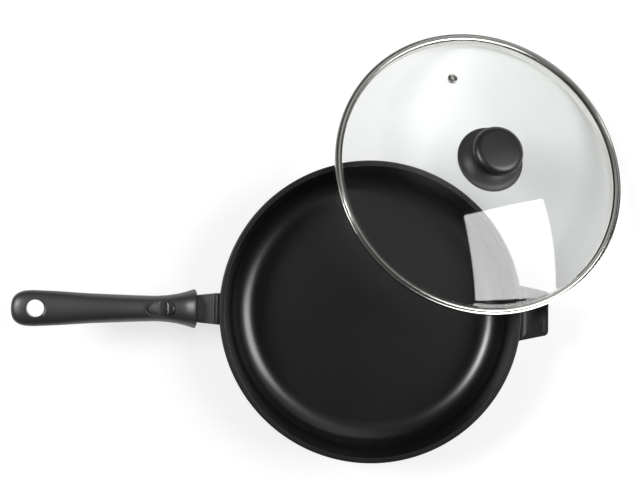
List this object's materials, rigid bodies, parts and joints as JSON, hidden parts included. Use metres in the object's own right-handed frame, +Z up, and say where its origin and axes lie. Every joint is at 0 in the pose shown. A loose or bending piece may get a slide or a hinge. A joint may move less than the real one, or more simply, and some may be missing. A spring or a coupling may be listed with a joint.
{
  "type": "saute pan",
  "caption": "Deep cast saute pan with a pull-off moulded handle, a thumb slider, a cast side grip and a leaning domed glass lid.",
  "frame": {"origin": "middle of the pan's base, on the surface that the pan stands on", "axes": "+Z up out of the pan's mouth, -X along the long handle, +X towards the side grip"},
  "size_m": [0.5906, 0.4285, 0.1129],
  "materials": {
    "cast_black": "black non-stick coating on cast aluminium",
    "grip_plastic": "satin heat-resistant moulding",
    "slider_plastic": "satin heat-resistant moulding",
    "liner_steel": "drawn",
    "spring_steel": "rolled",
    "screw_steel": "zinc plated",
    "lid_glass": "clear tempered",
    "rim_steel": "polished",
    "eyelet_steel": "polished",
    "knob_plastic": "satin heat-resistant moulding",
    "insert_brass": "turned",
    "seal_silicone": "matt"
  },
  "bodies": {
    "pan": {"pan_body": "cast_black"},
    "handle": {"handle_grip": "grip_plastic", "socket_liner": "liner_steel", "liner_screws": "screw_steel", "latch_blade": "spring_steel", "latch_screw": "screw_steel"},
    "release": {"release_slider": "slider_plastic", "slider_shoe": "liner_steel", "slider_screw": "screw_steel"},
    "lid": {"lid_glass": "lid_glass", "lid_rim": "rim_steel", "vent_eyelet": "eyelet_steel", "vent_washer": "eyelet_steel", "knob_plate": "knob_plastic", "lid_knob": "knob_plastic", "knob_insert": "insert_brass", "knob_screw": "screw_steel", "knob_washer": "screw_steel", "knob_seal_upper": "seal_silicone", "knob_seal_lower": "seal_silicone"}
  },
  "joints": [
    {"name": "handle_pull", "type": "slide", "parent": "pan", "child": "handle", "axis": [-0.9703, 0, 0.2419], "range_m": [0, 0.06]},
    {"name": "release_slide", "type": "slide", "parent": "handle", "child": "release", "axis": [-0.9703, 0, 0.2419], "range_m": [0, 0.0036], "stiffness_N_per_m": 400, "springref_m": -0.002, "deforming": ["latch_blade"]},
    {"name": "lid_off", "type": "slide", "parent": "pan", "child": "lid", "axis": [0.4275, 0.5632, 0.7071], "range_m": [0, 0.25]}
  ]
}
